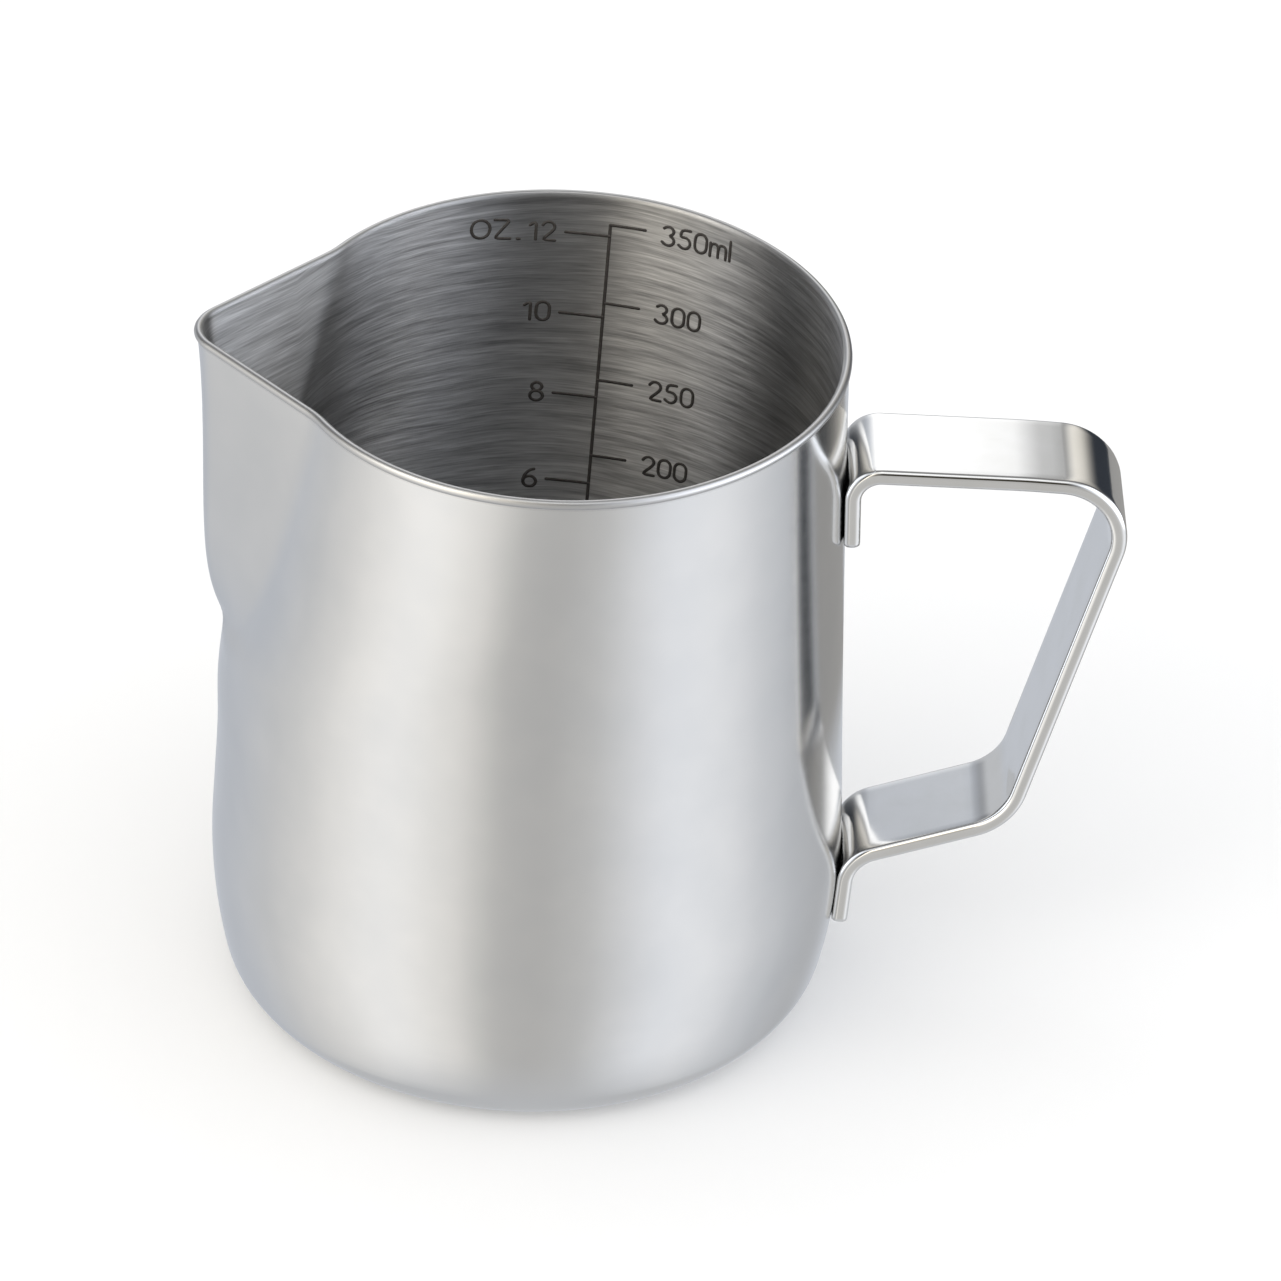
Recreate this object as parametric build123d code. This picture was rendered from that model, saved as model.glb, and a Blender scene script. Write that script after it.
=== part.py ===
from build123d import *
import math
import os

# Milk frothing pitcher: a one-piece pressed steel cup with a pouring spout, and a bent
# strip handle spot-welded to its wall.
# Frame: millimetres, +Z up, origin at the centre of the standing plane.
# The handle points to +X, the spout to -X, and the part is symmetric about the XZ plane.

# ---- cup ---------------------------------------------------------------------------
height = 89.5
wall = 0.7
rim_radius = 36.4          # outside of the wall at the rim, on the handle side
rim_taper = 0.033          # how fast the wall widens just below the rim, mm per mm
flare_radius = 3000.0      # the long hollow curve of the wall, seen from the side
belly_top = 22.0           # height where the hollow curve turns into the round belly
belly_radius = 70.0
corner_radius = 5.25       # outside radius between belly and base

# ---- base: the panel is pressed up, so that the cup stands on a ring ------------------
panel_rise = 0.8
panel_radius = 26.5
panel_foot_radius = 28.5

# ---- spout, pressed out of the wall ----------------------------------------------------
spout_bottom = 49.0        # height of the dent where the spout runs out into the wall
spout_steps = 12           # outlines between the dent and the rim
keel_swell = 3.0           # how far the keel stands out of the round wall above the dent
keel_swell_height = 5.3    # how soon above the dent it swells
keel_lean = 0.8            # how much more it stands out at the rim, growing evenly
lip_flare = 1.0            # how much more it stands out at the rim, near the rim only
spout_half_angle = 34.0    # half of the pressed area's width at the rim, in degrees
spout_widening = 2.4       # power by which the pressed area widens slowly towards the rim
spout_side_dip = 4.05      # how far the wall is drawn in beside the spout
spout_tip_radius = 6.2     # outside, at the rim
crease_radius = 15.0       # hollow arc between the cup's side and the spout's flank
side_start_angle = 60.0    # angle from the handle where the drawn-in side begins

# ---- rim bead ---------------------------------------------------------------------------
bead_radius = 0.55
bead_proud = 0.35          # how far the bead stands out of the wall

# ---- handle -----------------------------------------------------------------------------
strip_thickness = 2.0
strip_width = 14.1
strip_edge_radius = 0.55
tab_corner_radius = 1.2
tab_seat = 0.35            # depth to which a tab's middle is pressed to the wall's curve
upper_tab_end = 65.5       # height of the upper tab's free end
lower_tab_end = 9.4        # height of the lower tab's free end
upper_corner_height = 75.9
lower_corner_height = 19.2
grip_top = (71.9, 75.1)    # X and Z where the centre lines of the upper arm and grip cross
grip_bottom = (59.6, 26.1)
upper_tab_bend_radius = 3.4      # bend radii on the centre line
lower_tab_bend_radius = 5.0
grip_top_bend_radius = 7.5
grip_bottom_bend_radius = 8.0

# ---- spot welds ----------------------------------------------------------------------------
weld_radius = 1.8
weld_spacing = 5.2         # between the two welds of a tab
weld_depth = 1.0           # how far a nugget reaches into the tab
weld_dimple = 0.12         # depth of the electrode's mark inside the cup
weld_heights = (12.6, 68.9)

# ---- centres of the arcs in the cup's side view ----------------------------------------------
flare_centre_z = height + rim_taper * flare_radius
flare_centre_x = rim_radius + math.sqrt(flare_radius**2 - (flare_centre_z - height) ** 2)


def flare_x(z, inset=0.0):
    """Radius of the hollow wall at height z, at a depth inset below its outer face."""
    radius = flare_radius + inset
    return flare_centre_x - math.sqrt(radius**2 - (flare_centre_z - z) ** 2)


belly_lean = math.asin((flare_centre_z - belly_top) / flare_radius)
belly_centre_x = flare_x(belly_top) - belly_radius * math.cos(belly_lean)
belly_centre_z = belly_top - belly_radius * math.sin(belly_lean)
corner_reach = belly_radius - corner_radius
corner_lean = math.asin((belly_centre_z - corner_radius) / corner_reach)
corner_centre_x = belly_centre_x + corner_reach * math.cos(corner_lean)


def wall_x(z):
    """Outer radius of the cup on the handle side, at any height above the base corner."""
    if z > belly_top:
        return flare_x(z)
    return belly_centre_x + math.sqrt(belly_radius**2 - (z - belly_centre_z) ** 2)


def on_circle(centre, radius, angle):
    return (centre[0] + radius * math.cos(angle), centre[1] + radius * math.sin(angle))


def lower_cup(inset):
    """Turned solid from the base to the spout's lower end, inset from the outer face."""
    belly_centre = (belly_centre_x, belly_centre_z)
    belly_inset = belly_radius - inset
    belly_foot = on_circle(belly_centre, belly_inset, -corner_lean)
    belly_middle = on_circle(belly_centre, belly_inset, (belly_lean - corner_lean) / 2)
    belly_end = on_circle(belly_centre, belly_inset, belly_lean)
    corner_foot = (corner_centre_x, inset)
    corner_angle = -(math.pi / 2 + corner_lean) / 2
    corner_middle = on_circle((corner_centre_x, corner_radius), corner_radius - inset, corner_angle)
    flare_middle_z = (belly_end[1] + spout_bottom) / 2
    flare_middle = (flare_x(flare_middle_z, inset), flare_middle_z)
    flare_end = (flare_x(spout_bottom, inset), spout_bottom)
    with BuildSketch(Plane.XZ) as half:
        with BuildLine():
            Polyline(
                flare_end,
                (0, spout_bottom),
                (0, panel_rise + inset),
                (panel_radius, panel_rise + inset),
                (panel_foot_radius, inset),
                corner_foot,
            )
            ThreePointArc(corner_foot, corner_middle, belly_foot)
            ThreePointArc(belly_foot, belly_middle, belly_end)
            ThreePointArc(belly_end, flare_middle, flare_end)
        make_face()
    return revolve(half.sketch, Axis.Z)


def between(first, last, centre, radius):
    """The point of a circle half way between two of its points."""
    x = (first[0] + last[0]) / 2 - centre[0]
    y = (first[1] + last[1]) / 2 - centre[1]
    length = math.hypot(x, y)
    return (centre[0] + radius * x / length, centre[1] + radius * y / length)


def spout_height(size):
    """Height at which the spout has a given size, from 0 at its dent to 1 at the rim."""
    return spout_bottom + (height - spout_bottom) * size**spout_widening


def keel_reach(z):
    """How far the spout's tip stands out of the round wall at height z."""
    rise = (z - spout_bottom) / (height - spout_bottom)
    swell = keel_swell * (1 - math.exp((spout_bottom - z) / keel_swell_height))
    return swell + keel_lean * rise + lip_flare * rise**5


def half_outline(size, z, inset):
    """Points of the +Y half of the cup's outline at height z, for a spout of a given size.

    Seen from above the outline is a round back, a drawn-in side, a hollow crease, a straight
    flank and a round tip, each tangent to the next. The list holds the end of each stretch,
    with a point in the middle of each.
    """
    radius = flare_x(z)
    tip_x = -(radius + keel_reach(z))
    tip_radius = spout_tip_radius * math.sqrt(size)
    tip_centre = (tip_x + tip_radius, 0)
    flank_angle = math.pi - math.radians(spout_half_angle) * size
    flank = on_circle((0, 0), radius - spout_side_dip * size, flank_angle)

    to_tip = math.dist(flank, tip_centre)
    tip_direction = math.atan2(flank[1], flank[0] - tip_centre[0])
    normal_angle = tip_direction + math.acos(tip_radius / to_tip)
    crease = crease_radius * size
    crease_centre = on_circle(flank, crease, normal_angle)

    side_start_direction = math.pi - math.radians(180 - side_start_angle) * size
    back = on_circle((0, 0), 1, side_start_direction)
    reach = radius + crease
    toward_back = crease_centre[0] * back[0] + crease_centre[1] * back[1]
    offset = (math.hypot(*crease_centre) ** 2 - reach**2) / (2 * (toward_back - reach))
    side_centre = on_circle((0, 0), offset, side_start_direction)
    side_inset = radius - offset - inset
    side_end_direction = math.atan2(
        crease_centre[1] - side_centre[1],
        crease_centre[0] - side_centre[0],
    )

    side_start = on_circle((0, 0), radius - inset, side_start_direction)
    side_end = on_circle(side_centre, side_inset, side_end_direction)
    flank_start = on_circle(flank, -inset, normal_angle)
    flank_end = on_circle(tip_centre, tip_radius - inset, normal_angle)
    return [
        side_start,
        between(side_start, side_end, side_centre, side_inset),
        side_end,
        between(side_end, flank_start, crease_centre, crease + inset),
        flank_start,
        ((flank_start[0] + flank_end[0]) / 2, (flank_start[1] + flank_end[1]) / 2),
        flank_end,
        (tip_x + inset, 0),
    ]


def round_half_outline(first_size, inset):
    """The round outline below the spout, divided like the first spout outline above it."""
    radius = flare_x(spout_bottom, inset)
    points = half_outline(first_size, spout_height(first_size), inset)
    ends = [on_circle((0, 0), radius, math.atan2(y, x)) for x, y in points[0:8:2]]
    middles = [between(ends[i], ends[i + 1], (0, 0), radius) for i in range(3)]
    return [ends[0], middles[0], ends[1], middles[1], ends[2], middles[2], ends[3], (-radius, 0)]


def closed_outline(points, z):
    """Closed wire at height z from the points of its +Y half."""

    def side_edges(mirror, straight_flank):
        turned = [(x, mirror * y) for x, y in points]
        edges = [ThreePointArc(turned[i], turned[i + 1], turned[i + 2]) for i in (0, 2)]
        if straight_flank:
            edges.append(Line(turned[4], turned[6]))
        else:
            edges.append(ThreePointArc(turned[4], turned[5], turned[6]))
        return edges

    flank_chord = math.dist(points[4], points[5]) + math.dist(points[5], points[6])
    straight_flank = flank_chord - math.dist(points[4], points[6]) < 1e-9
    back = ThreePointArc(
        (points[0][0], -points[0][1]),
        (math.hypot(*points[0]), 0),
        points[0],
    )
    tip = ThreePointArc(points[6], points[7], (points[6][0], -points[6][1]))
    edges = [back] + side_edges(1, straight_flank) + [tip] + side_edges(-1, straight_flank)
    return Wire([edge.moved(Location((0, 0, z))) for edge in edges])


def spout_outline(size, inset):
    z = spout_height(size)
    return closed_outline(half_outline(size, z, inset), z)


def upper_cup(inset):
    """Solid from the spout's lower end to the rim, inset from the outer face."""
    outlines = [closed_outline(round_half_outline(1 / spout_steps, inset), spout_bottom)]
    for step in range(1, spout_steps + 1):
        outlines.append(spout_outline(step / spout_steps, inset))
    return Solid.make_loft(outlines, True)


def rim_bead():
    """Round bead rolled along the rim."""
    z = height - bead_radius
    inset = bead_radius - bead_proud
    path = closed_outline(half_outline(1.0, z, inset), z)
    start = Plane(origin=path @ 0, z_dir=path % 0)
    return sweep(start * Circle(bead_radius), path=path)


def tab_line_x(z):
    """X of a tab's centre line at height z, pressed to the wall."""
    return wall_x(z) - tab_seat + strip_thickness / 2


def strip():
    """The bent strip, before its tabs are pressed to the shape of the wall."""
    upper_corner = (tab_line_x(upper_corner_height), upper_corner_height)
    lower_corner = (tab_line_x(lower_corner_height), lower_corner_height)
    with BuildPart() as bent:
        with BuildLine(Plane.XZ) as centre_line:
            FilletPolyline(
                (tab_line_x(upper_tab_end), upper_tab_end),
                upper_corner,
                grip_top,
                grip_bottom,
                lower_corner,
                (tab_line_x(lower_tab_end), lower_tab_end),
                radius=(
                    upper_tab_bend_radius,
                    grip_top_bend_radius,
                    grip_bottom_bend_radius,
                    lower_tab_bend_radius,
                ),
            )
        path = centre_line.wire()
        across = Plane(origin=path @ 0, x_dir=(0, 1, 0), z_dir=path % 0)
        with BuildSketch(across):
            Rectangle(strip_width, strip_thickness)
        sweep(path=path)
        ends = bent.faces().filter_by(GeomType.PLANE).sort_by(SortBy.AREA)[0:2]
        corners = [
            edge
            for face in ends
            for edge in face.edges()
            if abs(edge.length - strip_thickness) < 0.01
        ]
        fillet(corners, tab_corner_radius)
        seams = bent.edges().filter_by(Axis.Y).filter_by(lambda edge: edge.length > strip_width - 0.01)
        borders = bent.edges().filter_by(lambda edge: abs(edge.length - strip_thickness) > 0.01)
        fillet(borders - seams, strip_edge_radius)
    return bent.part


def weld_nuggets():
    """Two round nuggets behind each tab, from the inside of the cup into the tab."""
    nuggets = []
    for z in weld_heights:
        inner_x = wall_x(z) - wall + weld_dimple
        outer_x = wall_x(z) - tab_seat + weld_depth
        for side in (-1, 1):
            start = Plane(origin=(inner_x, side * weld_spacing / 2, z), z_dir=(1, 0, 0))
            nuggets.append(start * extrude(Circle(weld_radius), outer_x - inner_x))
    return nuggets


def weld_hole(nugget):
    """The room a nugget takes in the wall and the tab, open to the inside of the cup."""
    return nugget + nugget.moved(Location((-wall, 0, 0)))


outer_cup = lower_cup(0.0) + upper_cup(0.0)
inner_cup = lower_cup(wall) + upper_cup(wall)
above_bead_line = Box(
    4 * rim_radius,
    4 * rim_radius,
    height,
    align=(Align.CENTER, Align.CENTER, Align.MIN),
).moved(Location((0, 0, height - bead_radius)))

spot_welds = weld_nuggets()
body_shell = (outer_cup - inner_cup - above_bead_line) + rim_bead()
handle = strip() - outer_cup
for nugget in spot_welds:
    body_shell = body_shell - weld_hole(nugget)
    handle = handle - nugget

nodes = {
    "body_shell": body_shell,
    "handle": handle,
    "spot_welds": Compound(children=spot_welds),
}
os.makedirs("parts", exist_ok=True)
for name, shape in nodes.items():
    export_step(shape, f"parts/{name}.step")
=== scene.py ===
"""Looks of a milk frothing pitcher: a pressed steel cup with a pouring spout, its volume scale,
a bent strip handle and the weld marks that hold it."""

import math

import bpy
import numpy as np
from mathutils import Matrix, Vector


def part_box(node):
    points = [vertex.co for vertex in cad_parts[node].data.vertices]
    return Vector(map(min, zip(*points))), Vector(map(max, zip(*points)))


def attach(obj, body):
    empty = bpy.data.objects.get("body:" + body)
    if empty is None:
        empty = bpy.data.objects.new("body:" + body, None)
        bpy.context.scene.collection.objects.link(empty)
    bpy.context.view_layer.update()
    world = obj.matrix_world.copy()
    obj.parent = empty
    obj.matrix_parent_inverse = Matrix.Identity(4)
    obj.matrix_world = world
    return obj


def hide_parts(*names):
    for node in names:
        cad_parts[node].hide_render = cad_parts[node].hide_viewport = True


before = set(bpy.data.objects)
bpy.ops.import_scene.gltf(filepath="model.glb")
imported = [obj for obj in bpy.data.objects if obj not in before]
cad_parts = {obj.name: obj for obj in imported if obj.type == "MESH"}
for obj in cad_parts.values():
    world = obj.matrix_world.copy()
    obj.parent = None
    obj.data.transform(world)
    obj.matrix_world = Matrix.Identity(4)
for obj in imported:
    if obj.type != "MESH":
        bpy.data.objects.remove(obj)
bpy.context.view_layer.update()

# All lengths below are in millimetres, in the frame's axes; MM turns them into metres.
MM = 0.001

# ---- cup ---------------------------------------------------------------------------
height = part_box("body_shell")[1].z / MM
wall = 0.7
rim_radius = 36.4
rim_taper = 0.033
flare_radius = 3000.0
belly_top = 22.0
belly_radius = 70.0
corner_radius = 5.25
panel_rise = 0.8
panel_edge = 27.6          # middle of the step between the raised panel and the standing ring
panel_step_width = 3.2

spout_bottom = 49.0
keel_swell = 3.0
keel_swell_height = 5.3
keel_lean = 0.8
lip_flare = 1.0
spout_half_angle = math.radians(34.0)
spout_widening = 2.4
spout_side_dip = 4.05
spout_tip_radius = 6.2
crease_radius = 15.0
side_start_angle = math.radians(60.0)

bead_radius = 0.55
bead_proud = 0.35
dent_softness = 0.8        # how far the press rounds the dent under the spout, up and down
dent_reach = 4.0           # height above and below the dent that is rounded
bulge_height = 41.5        # the wall bulges a little where the spout's dent pushed it
bulge_size = 0.36
bulge_spread = 5.0
bulge_angle = 0.36

half_columns = 200
fractions = np.linspace(0.0, 1.0, half_columns + 1)

flare_centre_z = height + rim_taper * flare_radius
flare_centre_x = rim_radius + math.sqrt(flare_radius**2 - (flare_centre_z - height) ** 2)


def flare_x(z, inset=0.0):
    """Radius of the round wall at height z, at a depth inset below its outer face."""
    return flare_centre_x - math.sqrt((flare_radius + inset) ** 2 - (flare_centre_z - z) ** 2)


belly_lean = math.asin((flare_centre_z - belly_top) / flare_radius)
belly_centre = (
    flare_x(belly_top) - belly_radius * math.cos(belly_lean),
    belly_top - belly_radius * math.sin(belly_lean),
)
corner_lean = math.asin((belly_centre[1] - corner_radius) / (belly_radius - corner_radius))
corner_centre = (
    belly_centre[0] + (belly_radius - corner_radius) * math.cos(corner_lean),
    corner_radius,
)


def wall_x(z):
    """Outer radius of the round cup at any height above its corner."""
    if z > belly_top:
        return flare_x(z)
    return belly_centre[0] + math.sqrt(belly_radius**2 - (z - belly_centre[1]) ** 2)


def direction(angle):
    return np.array([math.cos(angle), math.sin(angle)])


def directions(angles):
    return np.stack([np.cos(angles), np.sin(angles)], 1)


def spout_stretches(radius, rise):
    """The arcs of half an outline with the spout, from the handle's side to the spout's tip.

    Each is (centre, radius, first normal angle, last normal angle); a hollow arc has a negative
    radius. The straight flank is (start, end, normal angle).
    """
    size = rise ** (1 / spout_widening)
    above = rise * (height - spout_bottom)
    keel = keel_swell * (1 - math.exp(-above / keel_swell_height))
    keel += keel_lean * rise + lip_flare * rise**5
    tip_radius = spout_tip_radius * math.sqrt(size)
    tip_centre = np.array([tip_radius - radius - keel, 0.0])
    flank = (radius - spout_side_dip * size) * direction(math.pi - spout_half_angle * size)
    to_tip = flank - tip_centre
    overhang = math.acos(min(1.0, tip_radius / math.hypot(*to_tip)))
    flank_normal = math.atan2(to_tip[1], to_tip[0]) + overhang
    crease = crease_radius * size
    crease_centre = flank + crease * direction(flank_normal)

    side_start = math.pi - (math.pi - side_start_angle) * size
    back = direction(side_start)
    reach = radius + crease
    offset = (crease_centre @ crease_centre - reach**2) / (2 * (crease_centre @ back - reach))
    toward_crease = crease_centre - offset * back
    side_end = math.atan2(toward_crease[1], toward_crease[0]) % (2 * math.pi)
    tip_start = tip_centre + tip_radius * direction(flank_normal)
    return [
        (np.zeros(2), radius, 0.0, side_start),
        (offset * back, radius - offset, side_start, side_end),
        (crease_centre, -crease, side_end, flank_normal),
        (flank, tip_start, flank_normal),
        (tip_centre, tip_radius, flank_normal, math.pi),
    ]


def pressed_outline(z):
    """Points of half the cup's outline at height z, in equal steps, and their outward normals."""
    radius = wall_x(z)
    rise = (z - spout_bottom) / (height - spout_bottom)
    bulge = bulge_size * math.exp(-(((z - bulge_height) / bulge_spread) ** 2))
    bulge = bulge * np.exp(-((np.pi * (1 - fractions) / bulge_angle) ** 2))
    if rise < 5e-4:
        normals = directions(np.pi * fractions)
        return (radius + bulge)[:, None] * normals, normals
    stretches = spout_stretches(radius, rise)
    lengths = []
    for stretch in stretches:
        if len(stretch) == 3:
            lengths.append(math.dist(stretch[0], stretch[1]))
        else:
            lengths.append(abs(stretch[1] * (stretch[3] - stretch[2])))
    ends = np.cumsum(lengths)
    along = fractions * ends[-1]
    which = np.minimum(np.searchsorted(ends, along - 1e-9), len(stretches) - 1)
    points = np.zeros((len(along), 2))
    normals = np.zeros_like(points)
    for i, stretch in enumerate(stretches):
        here = which == i
        share = ((along[here] - ends[i] + lengths[i]) / lengths[i])[:, None]
        if len(stretch) == 3:
            start, end, angle = stretch
            points[here] = start + share * (end - start)
            normals[here] = direction(angle)
        else:
            centre, radius, first, last = stretch
            normals[here] = directions(first + share[:, 0] * (last - first))
            points[here] = centre + radius * normals[here]
    return points + bulge[:, None] * normals, normals


def outline(z):
    """The pressed outline, with the dent under the spout rounded over."""
    if abs(z - spout_bottom) > dent_reach:
        return pressed_outline(z)
    points = 0
    normals = 0
    for step, weight in zip((-2, -1, 0, 1, 2), (1, 4, 6, 4, 1)):
        nearby = pressed_outline(z + step * dent_softness)
        points = points + nearby[0] * weight / 16
        normals = normals + nearby[1] * weight / 16
    return points, normals / np.linalg.norm(normals, axis=1)[:, None]


def closed(half, z):
    """A full ring of 3-D points from half an outline, mirrored about the XZ plane."""
    ring = np.concatenate([half, half[-2:0:-1] * (1, -1)])
    return np.column_stack([ring, np.full(len(ring), z)])


def ring_at(z, inset, level=None):
    """Ring at a depth inset below the outer face of the outline at height z."""
    points, normals = outline(z)
    return closed(points - inset * normals, z if level is None else level)


def round_ring(radius, z):
    return closed(radius * directions(np.pi * fractions), z)


def smooth_step(x):
    x = min(1.0, max(0.0, x))
    return x * x * (3 - 2 * x)


def panel_z(radius):
    """Height of the base's underside at a radius: a raised panel inside the standing ring."""
    return panel_rise * (1 - smooth_step((radius - panel_edge) / panel_step_width + 0.5))


def base_rings(inset):
    """Rings of the base from near the centre out to the corner and up to the belly's top."""
    radii = [1.0, 4.0, 8.0, 12.0, 16.0, 20.0, 23.0, 25.0]
    radii += list(np.linspace(25.8, 29.4, 13))
    radii += [30.5, 31.8]
    rings = [round_ring(r, panel_z(r) + inset) for r in radii]
    for angle in np.linspace(-math.pi / 2, -corner_lean, 16):
        spot = np.array(corner_centre) + (corner_radius - inset) * direction(angle)
        rings.append(round_ring(*spot))
    for angle in np.linspace(-corner_lean, belly_lean, 16)[1:]:
        spot = np.array(belly_centre) + (belly_radius - inset) * direction(angle)
        rings.append(round_ring(*spot))
    return rings


def wall_heights(top):
    """Heights of the rings between the belly and a level just under the bead."""
    low = list(np.linspace(belly_top, spout_bottom - dent_reach, 22)[1:])
    dent = list(np.linspace(spout_bottom - dent_reach, spout_bottom + dent_reach, 21)[1:-1])
    high = list(np.linspace(spout_bottom + dent_reach, top, 42))
    return low + dent + high


def bead_rings():
    """Rings round the bead, from where it leaves the outer face to where it meets the inner one."""
    centre_inset = bead_radius - bead_proud
    level = height - bead_radius
    first = -math.acos(centre_inset / bead_radius)
    last = math.pi + math.acos(min(1.0, (wall - centre_inset) / bead_radius))
    rings = []
    for angle in np.linspace(first, last, 16):
        z = level + bead_radius * math.sin(angle)
        rings.append(ring_at(min(z, level), centre_inset - bead_radius * math.cos(angle), z))
    return rings


def add_piece(name, points, faces, materials, face_materials=None):
    """Makes a smooth-shaded mesh from points in millimetres and lets it ride on the part."""
    mesh = bpy.data.meshes.new(name)
    mesh.from_pydata((np.asarray(points) * MM).tolist(), [], faces)
    for material in materials:
        mesh.materials.append(material)
    if face_materials is not None:
        mesh.polygons.foreach_set("material_index", face_materials)
    mesh.polygons.foreach_set("use_smooth", [True] * len(mesh.polygons))
    mesh.validate()
    piece = bpy.data.objects.new(name, mesh)
    bpy.context.scene.collection.objects.link(piece)
    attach(piece, "root")
    return piece


def strip_faces(rows, columns, start=0):
    """Quads of a closed tube of rows, each a ring of points, numbered from start."""
    faces = []
    for row in range(rows - 1):
        low = start + row * columns
        for column in range(columns):
            after = (column + 1) % columns
            faces.append((low + column, low + after, low + columns + after, low + columns + column))
    return faces


def build_cup(outside, inside):
    """The whole cup as one closed skin: outside from the base's centre up, over the bead, inside down."""
    bead = bead_rings()
    outer = base_rings(0.0)
    outer += [ring_at(z, 0.0) for z in wall_heights(bead[0][0][2] - 0.1)]
    inner = base_rings(wall)
    inner += [ring_at(z, wall) for z in wall_heights(bead[-1][0][2] - 0.1)]
    inner = inner[::2]     # the inside needs only every second ring
    rings = outer + bead + inner[::-1]
    columns = len(rings[0])
    points = np.concatenate(rings + [[(0, 0, panel_rise)], [(0, 0, panel_rise + wall)]])
    faces = strip_faces(len(rings), columns)
    centre = len(points) - 2
    last = (len(rings) - 1) * columns
    for column in range(columns):
        after = (column + 1) % columns
        faces.append((centre, after, column))
        faces.append((centre + 1, last + column, last + after))
    outside_rows = len(outer) + 11
    indices = [0 if row < outside_rows else 1 for row in range(len(rings) - 1) for _ in range(columns)]
    indices += [0, 1] * columns
    cup = add_piece("cup", points, faces, [outside, inside], indices)
    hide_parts("body_shell")
    return cup


# ---- handle --------------------------------------------------------------------------
strip_thickness = 2.0
strip_width = (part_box("handle")[1].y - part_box("handle")[0].y) / MM
strip_edge_radius = 0.72
tab_corner_radius = 1.2
tab_seat = 0.35
upper_tab_end = 65.5
lower_tab_end = 9.4
upper_corner_height = 75.9
lower_corner_height = 19.2
grip_top = (71.9, 75.1)
grip_bottom = (59.6, 26.1)
bend_radii = (3.4, 90.0, 7.5, 8.0, 5.0)
arm_bow = (58.5, 0.3)      # where the upper arm starts to droop towards the grip, and its rise there
press_gap = 0.01           # hairline left between the tabs and the wall


def tab_line_x(z):
    return wall_x(z) - tab_seat + strip_thickness / 2


def bent_line(corners, radii):
    """Points and unit tangents along a line whose inner corners are rounded by arcs."""
    corners = [np.array(corner, float) for corner in corners]
    points = []
    tangents = []

    def add_straight(start, end, step):
        count = max(2, int(math.dist(start, end) / step))
        way = (end - start) / math.dist(start, end)
        for share in np.linspace(0, 1, count + 1)[:-1]:
            points.append(start + share * (end - start))
            tangents.append(way)

    at = corners[0]
    for before, corner, after, radius in zip(corners, corners[1:], corners[2:], radii):
        into = (corner - before) / math.dist(corner, before)
        out = (after - corner) / math.dist(after, corner)
        cross = into[0] * out[1] - into[1] * out[0]
        turn = math.copysign(math.acos(into @ out), cross)
        setback = radius * math.tan(abs(turn) / 2)
        arc_start = corner - setback * into
        add_straight(at, arc_start, 1.0)
        side = math.copysign(1.0, turn) * np.array([-into[1], into[0]])
        centre = arc_start + radius * side
        for share in np.linspace(0, 1, max(8, int(abs(turn) / 0.045)) + 1)[:-1]:
            bend = share * turn
            spin = np.array([[math.cos(bend), -math.sin(bend)], [math.sin(bend), math.cos(bend)]])
            points.append(centre - spin @ (radius * side))
            tangents.append(spin @ into)
        at = corner + setback * out
    add_straight(at, corners[-1], 1.0)
    points.append(corners[-1])
    tangents.append(tangents[-1])
    return np.array(points), np.array(tangents)


def rounded_section(half_width, half_thickness, radius):
    """Points (across, through) round a rectangle with rounded corners."""
    radius = min(radius, half_width, half_thickness)
    corners = (
        (half_width - radius, half_thickness - radius, 0.0),
        (radius - half_width, half_thickness - radius, math.pi / 2),
        (radius - half_width, radius - half_thickness, math.pi),
        (half_width - radius, radius - half_thickness, 1.5 * math.pi),
    )
    arcs = []
    for across, through, first in corners:
        angles = np.linspace(first, first + math.pi / 2, 7)
        arcs.append(np.array([across, through]) + radius * directions(angles))
    points = []
    for i, arc in enumerate(arcs):
        following = arcs[(i + 1) % 4][0]
        count = 14 if i % 2 == 0 else 2
        points += list(arc)
        points += [arc[-1] + share * (following - arc[-1]) for share in np.linspace(0, 1, count + 1)[1:-1]]
    return np.array(points)


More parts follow.
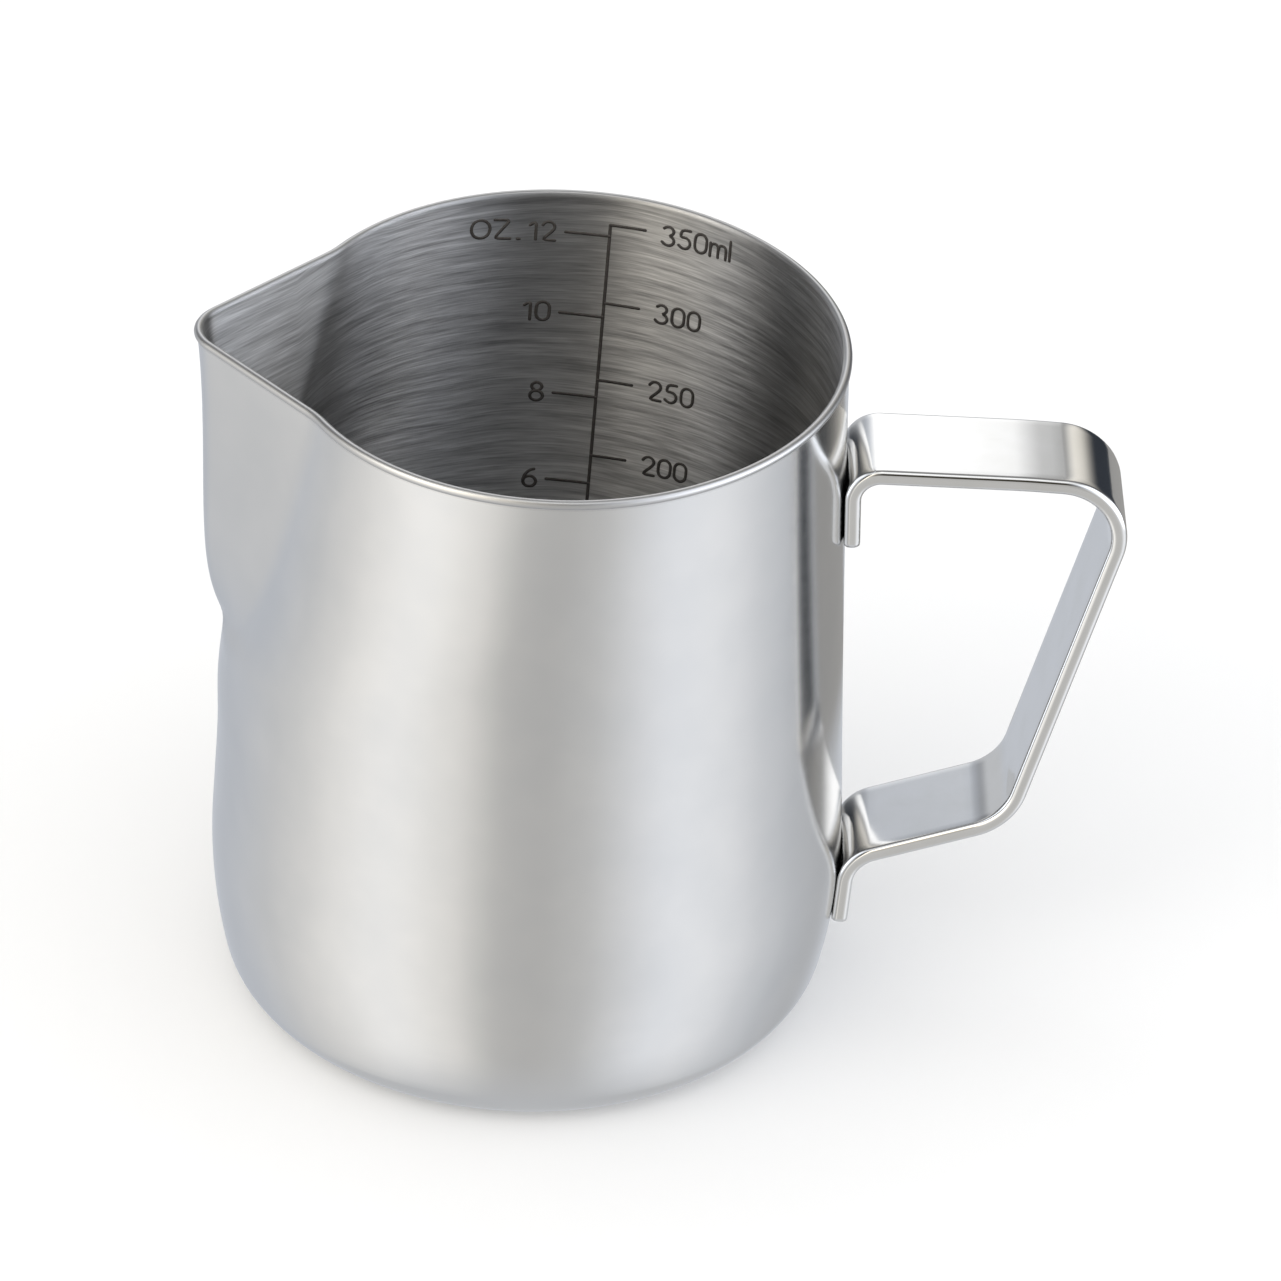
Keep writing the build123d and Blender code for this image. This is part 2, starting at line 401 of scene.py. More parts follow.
def build_handle(steel):
    """The strip, swept along its bent line, with rounded ends and its tabs pressed to the wall."""
    arm_start = (tab_line_x(upper_corner_height), upper_corner_height)
    share = (arm_bow[0] - arm_start[0]) / (grip_top[0] - arm_start[0])
    corners = [
        (tab_line_x(upper_tab_end), upper_tab_end),
        arm_start,
        (arm_bow[0], arm_start[1] + share * (grip_top[1] - arm_start[1]) + arm_bow[1]),
        grip_top,
        grip_bottom,
        (tab_line_x(lower_corner_height), lower_corner_height),
        (tab_line_x(lower_tab_end), lower_tab_end),
    ]
    line, tangents = bent_line(corners, bend_radii)
    steps = np.linalg.norm(np.diff(line, axis=0), axis=1)
    along = np.concatenate([[0], np.cumsum(steps)])
    total = along[-1]
    near_end = [tab_corner_radius * (1 - math.cos(a)) for a in np.linspace(0, math.pi / 2, 9)]
    places = near_end + [a for a in along if 1.4 < a < total - 1.4] + [total - d for d in near_end[::-1]]
    sections = []
    for place in places:
        centre = np.array([np.interp(place, along, line[:, i]) for i in (0, 1)])
        tangent = np.array([np.interp(place, along, tangents[:, i]) for i in (0, 1)])
        tangent = tangent / np.linalg.norm(tangent)
        normal = np.array([-tangent[1], tangent[0]])
        from_end = min(place, total - place)
        in_corner = max(0.0, tab_corner_radius - from_end)
        half_width = strip_width / 2 - tab_corner_radius
        half_width += math.sqrt(tab_corner_radius**2 - in_corner**2)
        in_edge = max(0.0, strip_edge_radius - from_end)
        half_thickness = strip_thickness / 2 - strip_edge_radius
        half_thickness += math.sqrt(strip_edge_radius**2 - in_edge**2)
        section = rounded_section(half_width, half_thickness, strip_edge_radius)
        spots = centre + section[:, 1:] * normal
        sections.append(np.column_stack([spots[:, 0], section[:, 0], spots[:, 1]]))
    columns = len(sections[0])
    points = np.concatenate(sections)
    faces = strip_faces(len(sections), columns)
    faces.append(tuple(range(columns))[::-1])
    faces.append(tuple(range(len(points) - columns, len(points))))
    for point in points:
        reach = math.hypot(point[0], point[1])
        wanted = wall_x(point[2]) + press_gap
        if reach < wanted:
            point[:2] *= wanted / reach
    handle = add_piece("strip_handle", points, faces, [steel])
    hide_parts("handle")
    return handle


# ---- weld marks inside the cup -------------------------------------------------------------
weld_spacing = 5.2
weld_heights = (12.6, 68.9)
weld_profile = (           # radius, height above the wall: a dished middle inside a raised rim
    (0.5, 0.03), (1.0, 0.035), (1.3, 0.05), (1.45, 0.09), (1.6, 0.11), (1.75, 0.08),
    (1.85, 0.02), (1.9, -0.05),
)
weld_columns = 48


def on_inner_wall(y, z, lift):
    """Point of the round inner wall on the handle's side, lifted towards the cup's middle."""
    radius = wall_x(z) - wall - lift
    return (math.sqrt(radius**2 - y**2), y, z)


def build_weld_marks(metal):
    """Four round electrode marks, one for each nugget, following the wall's curve."""
    points = []
    faces = []
    for z in weld_heights:
        for side in (-1, 1):
            start = len(points)
            centre = side * weld_spacing / 2
            for radius, lift in weld_profile:
                for k in range(weld_columns):
                    angle = 2 * math.pi * k / weld_columns
                    y = centre + radius * math.cos(angle)
                    points.append(on_inner_wall(y, z + radius * math.sin(angle), lift))
            faces += strip_faces(len(weld_profile), weld_columns, start)
            last = start + (len(weld_profile) - 1) * weld_columns
            faces.append(tuple(range(start, start + weld_columns))[::-1])
            faces.append(tuple(range(last, last + weld_columns)))
    marks = add_piece("weld_marks", points, faces, [metal])
    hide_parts("spot_welds")
    return marks


# ---- volume scale, etched on the inner wall ----------------------------------------------
scale_top = 85.2           # height of the topmost mark
scale_top_angle = math.radians(77.8)
scale_lean = 0.00127       # how much the scale's line turns round the wall, radians per mm down
ml_marks = (350, 300, 250, 200, 150, 100)
ml_spacing = 11.67         # height between two of the 50 ml marks
ml_tick = 4.5
oz_marks = ((12, 83.5), (10, 71.4), (8, 59.2), (6, 45.8), (4, 32.5))
oz_tick = 5.5
text_start = 6.8           # from the line to the numbers, on both sides
text_height = 2.8
text_drop = 0.2            # the millilitre numbers sit a little lower than their ticks
text_smile = 0.004         # numbers rise away from the line, as the flat stencil wraps the wall
stroke_width = 0.42
mark_lift = 0.02
letter_gap = 0.2           # in text heights


def arc(x, y, across, up, first, last, count=12):
    """Points of an ellipse's arc; angles in degrees."""
    angles = np.radians(np.linspace(first, last, count))
    return [(x + across * math.cos(a), y + up * math.sin(a)) for a in angles]


def oval(width):
    """Closed letter shape with straight sides and round ends, as drawn by a stencil."""
    r = width / 2
    return arc(r, 1 - r, r, r, 0, 180) + arc(r, r, r, r, 180, 360) + [(width, 1 - r)]


# Each glyph is its width and its strokes, in text heights.
glyphs = {
    "0": (0.6, [oval(0.6)]),
    "1": (0.36, [[(0.02, 0.76), (0.3, 1.0), (0.3, 0.0)]]),
    "2": (0.6, [arc(0.3, 0.72, 0.28, 0.28, 165, -38) + [(0.02, 0.0), (0.6, 0.0)]]),
    "3": (0.6, [arc(0.28, 0.76, 0.26, 0.24, 150, -85) + arc(0.28, 0.27, 0.31, 0.27, 80, -155)]),
    "4": (0.62, [[(0.62, 0.27), (0.0, 0.27), (0.42, 1.0)], [(0.42, 0.5), (0.42, 0.0)]]),
    "5": (0.6, [[(0.54, 1.0), (0.1, 1.0), (0.06, 0.56)] + arc(0.28, 0.32, 0.31, 0.32, 120, -150)]),
    "6": (0.6, [arc(0.3, 0.3, 0.3, 0.3, 0, 360, 24), arc(0.55, 0.3, 0.55, 0.7, 176, 98)]),
    "8": (0.6, [arc(0.3, 0.77, 0.24, 0.23, 0, 360, 20), arc(0.3, 0.27, 0.3, 0.27, 0, 360, 24)]),
    "O": (0.88, [oval(0.88)]),
    "Z": (0.74, [[(0.0, 1.0), (0.72, 1.0), (0.0, 0.0), (0.74, 0.0)]]),
    ".": (0.45, [[(0.14, 0.0), (0.22, 0.0)]]),
    "m": (0.84, [
        [(0.0, 0.68), (0.0, 0.0)],
        [(0.0, 0.34)] + arc(0.21, 0.46, 0.21, 0.22, 160, 0) + [(0.42, 0.0)],
        [(0.42, 0.34)] + arc(0.63, 0.46, 0.21, 0.22, 160, 0) + [(0.84, 0.0)],
    ]),
    "l": (0.05, [[(0.02, 1.0), (0.02, 0.0)]]),
}


def text_width(text):
    widths = [glyphs[letter][0] for letter in text]
    return (sum(widths) + letter_gap * (len(text) - 1)) * text_height


def text_strokes(text, left, middle):
    """Strokes of a text in wall coordinates, given its left end and its middle height."""
    strokes = []
    for letter in text:
        width, parts = glyphs[letter]
        for part in parts:
            strokes.append([(left + x * text_height, middle + (y - 0.5) * text_height) for x, y in part])
        left += (width + letter_gap) * text_height
    return strokes


def softened(points):
    """The same stroke with its sharp corners cut twice, and points close together."""
    points = [np.array(point) for point in points]
    dense = [points[0]]
    for start, end in zip(points, points[1:]):
        count = max(1, int(math.dist(start, end) / 0.35))
        dense += [start + share * (end - start) for share in np.linspace(0, 1, count + 1)[1:]]
    for _ in range(2):
        middle = [(a + 2 * b + c) / 4 for a, b, c in zip(dense, dense[1:], dense[2:])]
        dense = [dense[0]] + middle + [dense[-1]]
    return np.array(dense)


def stroke_outline(points):
    """Left and right borders of a stroke, with its two ends rounded."""
    line = softened(points)
    looped = math.dist(line[0], line[-1]) < 1e-6
    steps = np.gradient(line, axis=0)
    if looped:
        steps[0] = steps[-1] = line[1] - line[-2]
    ways = steps / np.linalg.norm(steps, axis=1)[:, None]
    sides = np.column_stack([-ways[:, 1], ways[:, 0]]) * stroke_width / 2
    if looped:
        return line + sides, line - sides
    left = []
    right = []
    for at, way, side, turn in ((line[0], ways[0], sides[0], -1), (line[-1], ways[-1], sides[-1], 1)):
        caps = [(math.sin(a), math.cos(a)) for a in np.radians((80, 50, 20))]
        ends = [(at + turn * way * s * stroke_width / 2, side * c) for s, c in caps]
        if turn > 0:
            ends = ends[::-1]
        left += [[spot + half for spot, half in ends]]
        right += [[spot - half for spot, half in ends]]
    left_border = np.array(left[0] + list(line + sides) + left[1])
    right_border = np.array(right[0] + list(line - sides) + right[1])
    return left_border, right_border


def scale_spot(across, z, lift):
    """Point of the inner wall, across to the right of the scale's line as seen from the front."""
    points, normals = outline(z)
    inner = points - (wall + lift) * normals
    steps = np.linalg.norm(np.diff(inner, axis=0), axis=1)
    lengths = np.concatenate([[0], np.cumsum(steps)])
    angles = np.arctan2(inner[:, 1], inner[:, 0])
    start = np.interp(scale_top_angle + scale_lean * (scale_top - z), angles, lengths)
    x = np.interp(start - across, lengths, inner[:, 0])
    y = np.interp(start - across, lengths, inner[:, 1])
    return (x, y, z)


def scale_strokes():
    """All strokes of the scale: its line, then each tick and number."""
    lowest = scale_top - ml_spacing * (len(ml_marks) - 1)
    strokes = [[(0.0, scale_top), (0.0, lowest)]]
    for i, volume in enumerate(ml_marks):
        z = scale_top - ml_spacing * i
        strokes.append([(0.0, z), (ml_tick, z)])
        label = f"{volume}ml" if i == 0 else str(volume)
        strokes += text_strokes(label, text_start, z - text_drop)
    for i, (volume, z) in enumerate(oz_marks):
        strokes.append([(0.0, z), (-oz_tick, z)])
        label = f"OZ.{volume}" if i == 0 else str(volume)
        strokes += text_strokes(label, -text_start - text_width(label), z)
    return strokes


def build_scale(etching):
    """The etched scale as thin ribbons that follow the inner wall."""
    points = []
    faces = []
    for number, stroke in enumerate(scale_strokes()):
        left, right = stroke_outline(stroke)
        start = len(points)
        lift = mark_lift + 0.004 * (number % 3)
        for (x1, z1), (x2, z2) in zip(left, right):
            for x, z, depth in ((x1, z1, lift), (x2, z2, lift), (x2, z2, -0.1), (x1, z1, -0.1)):
                points.append(scale_spot(x, z + text_smile * x * x, depth))
        rows = len(left)
        faces += strip_faces(rows, 4, start)
        last = start + 4 * (rows - 1)
        if math.dist(left[0], left[-1]) > 1e-6:
            faces.append((start + 3, start + 2, start + 1, start))
            faces.append((last, last + 1, last + 2, last + 3))
    return add_piece("volume_scale", points, faces, [etching])


# ---- materials -----------------------------------------------------------------------------
dull_shaded_bead = (1.4, 0.9)    # depths below the top between which the polish gives way to the dull bead, whose colour is also darkened there as painted shade
brushed_bottom_radius = 33.0   # inside this the brushing goes round the bottom in rings


class Nodes:
    """Short forms for building a node tree."""

    def __init__(self, tree):
        self.tree = tree

    def add(self, kind, **settings):
        node = self.tree.nodes.new(kind)
        for name, value in settings.items():
            setattr(node, name, value)
        return node

    def feed(self, socket, value):
        if isinstance(value, bpy.types.NodeSocket):
            self.tree.links.new(value, socket)
        else:
            socket.default_value = value

    def maths(self, operation, *values):
        node = self.add("ShaderNodeMath", operation=operation)
        for socket, value in zip(node.inputs, values):
            self.feed(socket, value)
        return node.outputs[0]

    def ramp(self, value, stops, interpolation="LINEAR"):
        """Colour ramp; each stop is (place, brightness) or (place, (r, g, b))."""
        node = self.add("ShaderNodeValToRGB")
        ramp = node.color_ramp
        ramp.interpolation = interpolation
        while len(ramp.elements) < len(stops):
            ramp.elements.new(0.5)
        for element, (place, colour) in zip(ramp.elements, stops):
            element.position = place
            if not isinstance(colour, tuple):
                colour = (colour, colour, colour)
            element.color = (*colour, 1.0)
        self.feed(node.inputs[0], value)
        return node.outputs[0]

    def mix(self, share, first, second):
        """Blend of two colours: share 0 gives the first and 1 the second."""
        node = self.add("ShaderNodeMix", data_type="RGBA")
        self.feed(node.inputs[0], share)
        self.feed(node.inputs[6], first)
        self.feed(node.inputs[7], second)
        return node.outputs[2]

    def stretch(self, value, scale):
        node = self.add("ShaderNodeVectorMath", operation="MULTIPLY")
        self.feed(node.inputs[0], value)
        node.inputs[1].default_value = scale
        return node.outputs[0]

    def noise(self, where, scale, detail=2.0, roughness=0.5):
        node = self.add("ShaderNodeTexNoise")
        self.feed(node.inputs["Vector"], where)
        node.inputs["Scale"].default_value = scale
        node.inputs["Detail"].default_value = detail
        node.inputs["Roughness"].default_value = roughness
        return node.outputs["Fac"]

    def bump(self, level, strength, distance, under=None):
        node = self.add("ShaderNodeBump")
        self.feed(node.inputs["Height"], level)
        node.inputs["Strength"].default_value = strength
        node.inputs["Distance"].default_value = distance
        if under is not None:
            self.feed(node.inputs["Normal"], under)
        return node.outputs[0]


def new_material(name):
    """A material with one Principled shader, its node helper and the object's coordinates in mm."""
    material = bpy.data.materials.new(name)
    material.use_nodes = True
    nodes = Nodes(material.node_tree)
    shader = material.node_tree.nodes["Principled BSDF"]
    place = nodes.add("ShaderNodeTexCoord").outputs["Object"]
    place = nodes.stretch(place, (1 / MM, 1 / MM, 1 / MM))
    return material, nodes, shader, place


def satin_steel():
    """Outside of the cup: evenly polished sheet with faint clouds, duller round the bead, where a darker
    colour is painted shade that dims the bead's highlight.
    """
    material, nodes, shader, place = new_material("satin_steel")
    clouds = nodes.noise(place, 0.12, 3.0)
    grain = nodes.noise(nodes.stretch(place, (0.25, 0.25, 3.0)), 1.0, 3.0)
    shader.inputs["Metallic"].default_value = 1.0
    sheen = nodes.ramp(clouds, [(0.3, (0.74, 0.745, 0.75)), (0.7, (0.78, 0.78, 0.78))])
    parts = nodes.add("ShaderNodeSeparateXYZ")
    nodes.feed(parts.inputs[0], place)
    near_rim = nodes.add("ShaderNodeMapRange")
    nodes.feed(near_rim.inputs["Value"], parts.outputs[2])
    near_rim.inputs["From Min"].default_value = height - dull_shaded_bead[0]
    near_rim.inputs["From Max"].default_value = height - dull_shaded_bead[1]
    polish = nodes.ramp(grain, [(0.3, 0.13), (0.7, 0.17)])
    polish = nodes.mix(near_rim.outputs[0], polish, (0.38, 0.38, 0.38, 1.0))
    # painted shade: towards the bead the colour darkens to dim its highlight, besides the rougher polish
    # set above
    sheen = nodes.mix(near_rim.outputs[0], sheen, (0.6, 0.6, 0.6, 1.0))
    nodes.feed(shader.inputs["Base Color"], sheen)
    nodes.feed(shader.inputs["Roughness"], polish)
    waves = nodes.bump(clouds, 0.25, 0.02 * MM)
    nodes.feed(shader.inputs["Normal"], nodes.bump(grain, 0.12, 0.004 * MM, waves))
    return material


def brushed_steel():
    """Inside of the cup: drawn round and round with a coarse abrasive."""
    material, nodes, shader, place = new_material("brushed_steel")
    drift = nodes.noise(place, 0.035, 1.0)
    flat = nodes.add("ShaderNodeVectorMath", operation="LENGTH")
    nodes.feed(flat.inputs[0], nodes.stretch(place, (1.0, 1.0, 0.0)))
    rings = nodes.maths("MINIMUM", flat.outputs["Value"], brushed_bottom_radius)
    lifted = nodes.add("ShaderNodeCombineXYZ")
    nodes.feed(lifted.inputs[2], nodes.maths("MULTIPLY_ADD", drift, 3.0, rings))
    wander = nodes.add("ShaderNodeVectorMath", operation="ADD")
    nodes.feed(wander.inputs[0], place)
    nodes.feed(wander.inputs[1], lifted.outputs[0])
    wide = nodes.noise(nodes.stretch(wander.outputs[0], (0.07, 0.07, 1.5)), 1.0, 3.0, 0.6)
    fine = nodes.noise(nodes.stretch(wander.outputs[0], (0.2, 0.2, 5.0)), 1.0, 2.0, 0.6)
    streaks = nodes.maths("ADD", nodes.maths("MULTIPLY", wide, 0.55), nodes.maths("MULTIPLY", fine, 0.45))
    shader.inputs["Metallic"].default_value = 1.0
    shader.inputs["Anisotropic"].default_value = 1.0
    shader.inputs["Anisotropic Rotation"].default_value = 0.25
    tangent = nodes.add("ShaderNodeTangent", direction_type="RADIAL", axis="Z")
    nodes.feed(shader.inputs["Tangent"], tangent.outputs[0])
    colour = nodes.ramp(streaks, [(0.35, (0.37, 0.37, 0.375)), (0.65, (0.7, 0.7, 0.7))])
    nodes.feed(shader.inputs["Base Color"], colour)
    nodes.feed(shader.inputs["Roughness"], nodes.ramp(streaks, [(0.35, 0.36), (0.65, 0.45)]))
    nodes.feed(shader.inputs["Normal"], nodes.bump(streaks, 0.5, 0.02 * MM))
    return material


def mirror_steel():
    """Handle: bright polished strip with faint hairline scratches along it."""
    material, nodes, shader, place = new_material("mirror_steel")
    smears = nodes.noise(place, 0.2, 3.0)
    scratches = nodes.noise(nodes.stretch(place, (0.3, 4.0, 0.3)), 1.0, 4.0, 0.7)
    shader.inputs["Metallic"].default_value = 1.0
    sheen = nodes.ramp(smears, [(0.3, (0.83, 0.83, 0.82)), (0.7, (0.87, 0.87, 0.87))])
    nodes.feed(shader.inputs["Base Color"], sheen)
    nodes.feed(shader.inputs["Roughness"], nodes.ramp(scratches, [(0.3, 0.09), (0.7, 0.13)]))
    nodes.feed(shader.inputs["Normal"], nodes.bump(scratches, 0.1, 0.002 * MM))
    return material


def weld_steel():
    """Weld marks: dull, slightly heat-tinted metal pressed by the electrode."""
    material, nodes, shader, place = new_material("weld_steel")
    pits = nodes.noise(place, 2.2, 4.0, 0.65)
    shader.inputs["Metallic"].default_value = 1.0
    tint = nodes.ramp(pits, [(0.35, (0.6, 0.58, 0.56)), (0.65, (0.74, 0.73, 0.715))])
    nodes.feed(shader.inputs["Base Color"], tint)
    nodes.feed(shader.inputs["Roughness"], nodes.ramp(pits, [(0.3, 0.75), (0.7, 0.6)]))
    nodes.feed(shader.inputs["Normal"], nodes.bump(pits, 0.4, 0.05 * MM))
    return material


def etched_steel():
    """Scale marks: electro-etched, dark, dull and slightly uneven."""
    material, nodes, shader, place = new_material("etched_steel")
    specks = nodes.noise(place, 3.0, 3.0, 0.6)
    shader.inputs["Metallic"].default_value = 0.35
    tint = nodes.ramp(specks, [(0.35, (0.07, 0.064, 0.058)), (0.7, (0.11, 0.1, 0.094))])
    nodes.feed(shader.inputs["Base Color"], tint)
    nodes.feed(shader.inputs["Roughness"], nodes.ramp(specks, [(0.3, 0.6), (0.7, 0.75)]))
    nodes.feed(shader.inputs["Normal"], nodes.bump(specks, 0.3, 0.02 * MM))
    return material


# ---- studio -----------------------------------------------------------------------------------
floor_radius = 4.0         # metres
floor_shade = 0.93
backdrop_shade = (0.97, 0.97, 0.97, 1.0)
fill_shade = (1.06, 1.06, 1.06, 1.0)     # what dull surfaces receive from all round

# What polished metal sees of the studio: rings of soft panels at four elevations. Each stop is
# (bearing round the object, brightness, warmth): bearing 0 is towards the camera and 90 to the
# right, in degrees; a positive warmth is yellowish and a negative one bluish.
table_ring = (
    (-180, 0.66, -0.06), (-150, 0.59, -0.06), (-128, 0.625, -0.045), (-114, 0.665, -0.02),
    (-102, 0.695, 0.0),
    (-80, 0.85, 0.02), (-65, 0.98, 0.02), (-50, 1.04, 0.015), (-36, 0.97, 0.025),
    (-22, 0.82, 0.03), (-12, 0.63, 0.025), (-2, 0.555, 0.02), (12, 0.56, 0.015),
    (28, 0.69, 0.0), (49, 0.94, -0.025), (71, 0.96, -0.02), (89, 0.80, -0.025),
    (107, 0.645, -0.035), (125, 0.56, -0.03), (142, 0.53, -0.03), (160, 0.62, -0.05),
    (180, 0.66, -0.06),
)
horizon_ring = (
    (-180, 0.60, -0.03), (-150, 0.58, -0.03), (-110, 0.66, -0.03), (-86, 0.9, 0.02),
    (-66, 1.5, 0.05), (-40, 1.9, 0.08), (-18, 0.75, 0.05), (0, 0.55, 0.02), (22, 0.6, 0.0),
    (46, 1.9, -0.05), (70, 2.7, -0.05), (94, 2.7, -0.05), (106, 1.6, -0.04), (118, 0.5, -0.03),
    (132, 0.12, -0.08), (165, 0.10, -0.08), (180, 0.50, -0.03),
)
panel_ring = (
    (-180, 1.45, 0.0), (-171, 1.3, 0.0), (-160, 0.68, -0.05), (-148, 0.30, -0.05),
    (-112, 0.08, 0.0), (-92, 0.6, 0.03), (-72, 2.5, 0.05), (-38, 2.4, 0.10), (-20, 0.60, 0.10),
    (-4, 0.14, 0.08), (14, 0.12, 0.04), (32, 0.8, -0.05), (52, 1.6, -0.06), (74, 1.8, -0.05),
    (94, 1.5, -0.05), (106, 0.7, -0.03), (122, 0.15, 0.0), (135, 0.12, 0.0), (150, 0.45, 0.06),
    (160, 0.85, 0.06), (165, 0.62, 0.03), (170, 0.42, 0.0), (175, 1.25, 0.0), (180, 1.45, 0.0),
)
ceiling_ring = (
    (-180, 0.25, 0.0), (-110, 0.25, 0.0), (-75, 0.7, 0.02), (0, 1.2, 0.0), (75, 0.7, -0.02),
    (110, 0.25, 0.0), (180, 0.25, 0.0),
)
below_cup = (0.60, -0.02)
ramp_top = 8.0             # a colour ramp holds no value above 1, so it holds an eighth of each light
# Elevations, in degrees, between which one ring gives way to the next one above it.
below_to_table = (-64, -48)
table_to_horizon = (-23, -6)
horizon_to_panel = (8, 22)
panel_to_ceiling = (44, 62)


# A dim card on the table; lengths in metres, lights as brightness and warmth.
flag_bearings = (99, 146)
flag_start = 0.074         # from the cup's axis
flag_fade = 0.014
flag_end = 0.5
flag_level = 0.0005
flag_edge_light = (0.54, -0.03)
flag_light = (0.34, 0.02)


def tinted(brightness, warmth, share=1.0):
    """Red, green and blue of a light; share scales all three."""
    light = share * brightness
    return (light * (1 + warmth), light * (1 + 0.3 * warmth), light * (1 - warmth))


def build_studio():
    """World whose reflections come from soft panels all round, over an evenly lit floor."""
    world = bpy.data.worlds.new("studio")
    bpy.context.scene.world = world
    world.use_nodes = True
    nodes = Nodes(world.node_tree)
    split = nodes.add("ShaderNodeSeparateXYZ")
    nodes.feed(split.inputs[0], nodes.add("ShaderNodeTexCoord").outputs["Generated"])
    x, y, z = split.outputs
    bearing = nodes.maths("ARCTAN2", x, nodes.maths("MULTIPLY", y, -1.0))
    place = nodes.maths("MULTIPLY_ADD", bearing, 0.5 / math.pi, 0.5)
    elevation = nodes.maths("DEGREES", nodes.maths("ARCSINE", z))
    seen = (*tinted(*below_cup, 1 / ramp_top), 1.0)
    changes = (below_to_table, table_to_horizon, horizon_to_panel, panel_to_ceiling)
    for ring, (start, end) in zip((table_ring, horizon_ring, panel_ring, ceiling_ring), changes):
        stops = [(angle / 360 + 0.5, tinted(*light, 1 / ramp_top)) for angle, *light in ring]
        above = nodes.add("ShaderNodeMapRange", interpolation_type="SMOOTHSTEP")
        nodes.feed(above.inputs["Value"], elevation)
        above.inputs["From Min"].default_value = start
        above.inputs["From Max"].default_value = end
        seen = nodes.mix(above.outputs[0], seen, nodes.ramp(place, stops, "CARDINAL"))
    seen = nodes.stretch(seen, (ramp_top, ramp_top, ramp_top))
    path = nodes.add("ShaderNodeLightPath")
    lit = nodes.mix(path.outputs["Is Diffuse Ray"], seen, fill_shade)
    lit = nodes.mix(path.outputs["Is Camera Ray"], lit, backdrop_shade)
    nodes.feed(world.node_tree.nodes["Background"].inputs["Color"], lit)


def build_floor():
    mesh = bpy.data.meshes.new("floor")
    angles = np.linspace(0, 2 * math.pi, 97)[:-1]
    ring = [(math.cos(a) * floor_radius, math.sin(a) * floor_radius, 0.0) for a in angles]
    mesh.from_pydata(ring, [], [tuple(range(len(ring)))])
    floor = bpy.data.objects.new("floor", mesh)
    bpy.context.scene.collection.objects.link(floor)
    material, nodes, shader, place = new_material("pale_floor")
    tone = nodes.noise(place, 0.002, 2.0)
    paint = nodes.ramp(tone, [(0.3, floor_shade - 0.005), (0.7, floor_shade + 0.005)])
    nodes.feed(shader.inputs["Base Color"], paint)
    shader.inputs["Roughness"].default_value = 0.9
    shader.inputs["Specular IOR Level"].default_value = 0.0
    mesh.materials.append(material)
    floor.visible_glossy = False


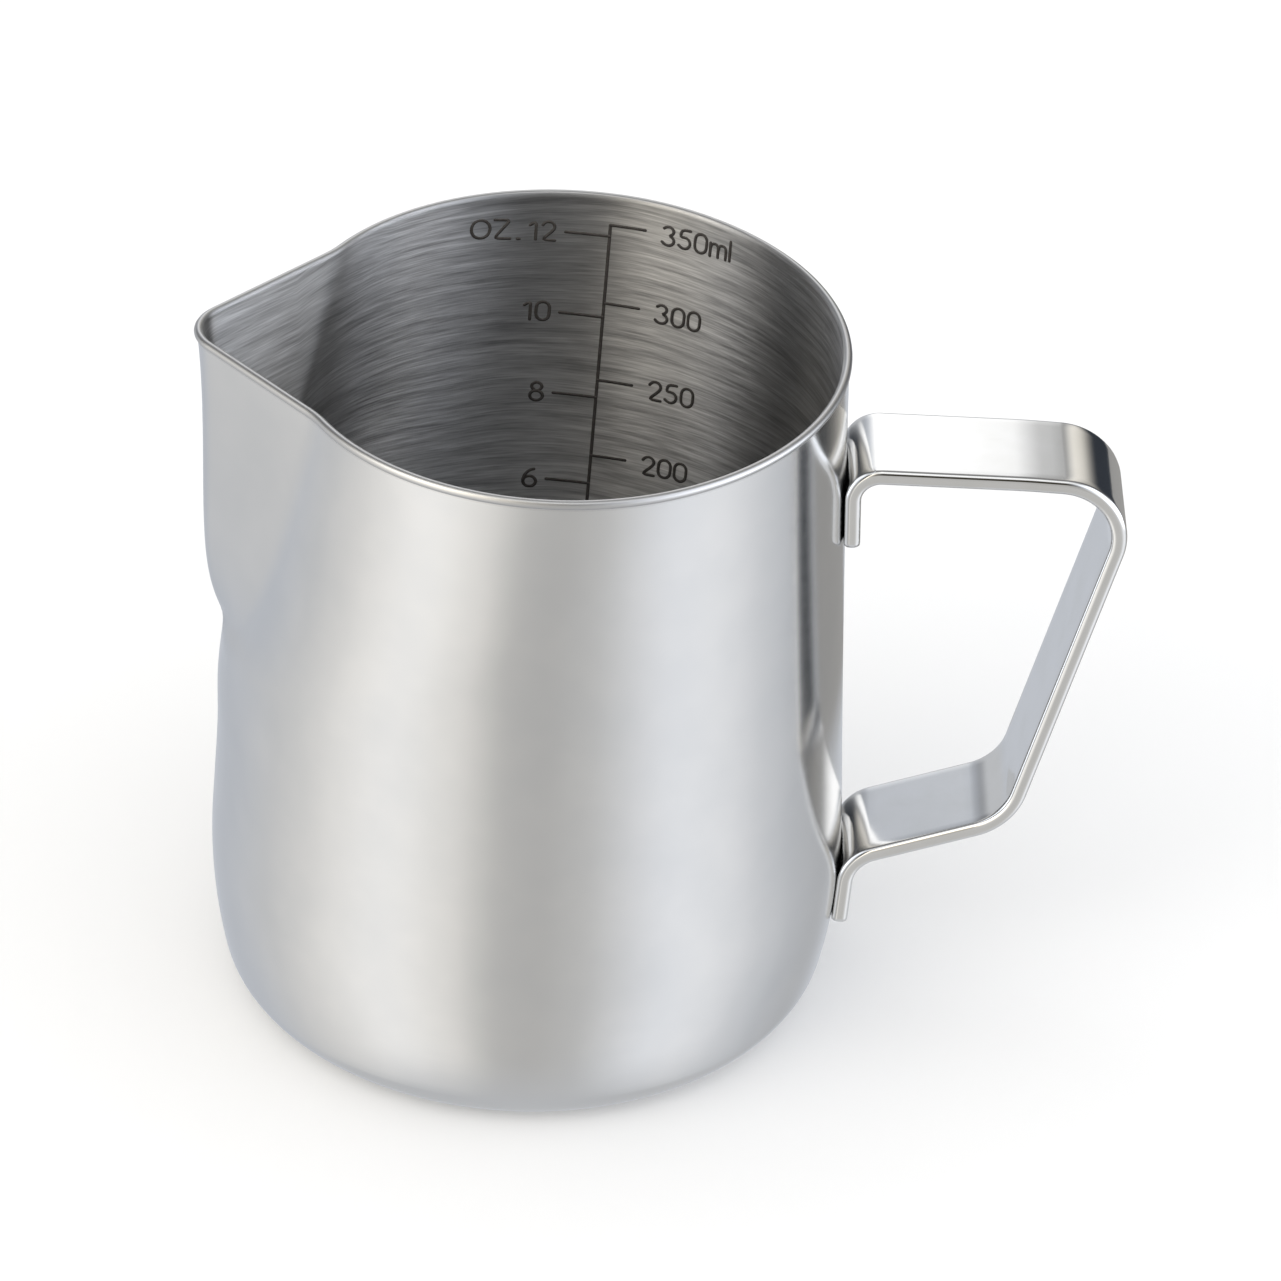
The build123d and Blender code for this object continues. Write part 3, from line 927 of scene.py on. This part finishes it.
def build_flag():
    """A dim card on the table, right and behind the handle, that only reflections see."""
    around = [math.radians(angle) for angle in np.linspace(*flag_bearings, 13)]
    distances = (flag_start, flag_start + flag_fade, flag_end)
    points = [(r * math.sin(a), -r * math.cos(a), flag_level) for r in distances for a in around]
    faces = []
    for row in range(len(distances) - 1):
        for column in range(len(around) - 1):
            near = row * len(around) + column
            faces.append((near, near + 1, near + len(around) + 1, near + len(around)))
    mesh = bpy.data.meshes.new("flag")
    mesh.from_pydata(points, [], faces)
    flag = bpy.data.objects.new("flag", mesh)
    bpy.context.scene.collection.objects.link(flag)
    material, nodes, shader, place = new_material("dim_card")
    away = nodes.add("ShaderNodeVectorMath", operation="LENGTH")
    nodes.feed(away.inputs[0], nodes.stretch(place, (MM, MM, 0.0)))
    edge = nodes.add("ShaderNodeMapRange", interpolation_type="SMOOTHSTEP")
    nodes.feed(edge.inputs["Value"], away.outputs["Value"])
    edge.inputs["From Min"].default_value = flag_start
    edge.inputs["From Max"].default_value = flag_start + flag_fade
    glow = nodes.mix(edge.outputs[0], (*tinted(*flag_edge_light), 1.0), (*tinted(*flag_light), 1.0))
    nodes.feed(shader.inputs["Emission Color"], glow)
    shader.inputs["Emission Strength"].default_value = 1.0
    shader.inputs["Base Color"].default_value = (0.0, 0.0, 0.0, 1.0)
    shader.inputs["Specular IOR Level"].default_value = 0.0
    mesh.materials.append(material)
    flag.visible_camera = False
    flag.visible_diffuse = False
    flag.visible_shadow = False


def build_key_light():
    """One large soft lamp, up on the left, that only the floor's shading shows."""
    lamp = bpy.data.lights.new("key", "AREA")
    lamp.shape = "DISK"
    lamp.size = 1.2
    lamp.energy = 2.0
    light = bpy.data.objects.new("key", lamp)
    light.location = (-0.9, -0.6, 1.5)
    light.rotation_mode = "QUATERNION"
    light.rotation_quaternion = (-Vector(light.location)).to_track_quat("-Z", "Y")
    light.visible_glossy = False
    bpy.context.scene.collection.objects.link(light)


# ---- camera --------------------------------------------------------------------------------
camera_azimuth = math.radians(-0.814)
camera_elevation = math.radians(34.046)
camera_roll = math.radians(2.652)
camera_distance = 0.6972   # metres, from the point it looks at
camera_lens = 159.26       # on a 36 mm wide sensor
look_at_height = 0.0459
look_right = 0.01319       # how far the picture's middle lies right of the axis, and above it
look_up = 0.000165


def build_camera():
    data = bpy.data.cameras.new("camera")
    data.lens = camera_lens
    data.sensor_width = 36.0
    data.clip_start = 0.01
    camera = bpy.data.objects.new("camera", data)
    bpy.context.scene.collection.objects.link(camera)
    flat = math.cos(camera_elevation)
    back = Vector((
        math.sin(camera_azimuth) * flat,
        -math.cos(camera_azimuth) * flat,
        math.sin(camera_elevation),
    ))
    level_right = (-back).cross(Vector((0, 0, 1))).normalized()
    level_up = level_right.cross(-back)
    turn, side = math.cos(camera_roll), math.sin(camera_roll)
    right = level_right * turn + level_up * side
    up = level_up * turn - level_right * side
    target = Vector((0, 0, look_at_height)) + right * look_right + up * look_up
    turned = Matrix((right, up, back)).transposed().to_4x4()
    camera.matrix_world = Matrix.Translation(target + back * camera_distance) @ turned
    bpy.context.scene.camera = camera


build_cup(satin_steel(), brushed_steel())
build_handle(mirror_steel())
build_weld_marks(weld_steel())
build_scale(etched_steel())
build_studio()
build_floor()
build_flag()
build_key_light()
build_camera()
bpy.context.scene.view_settings.view_transform = "Standard"
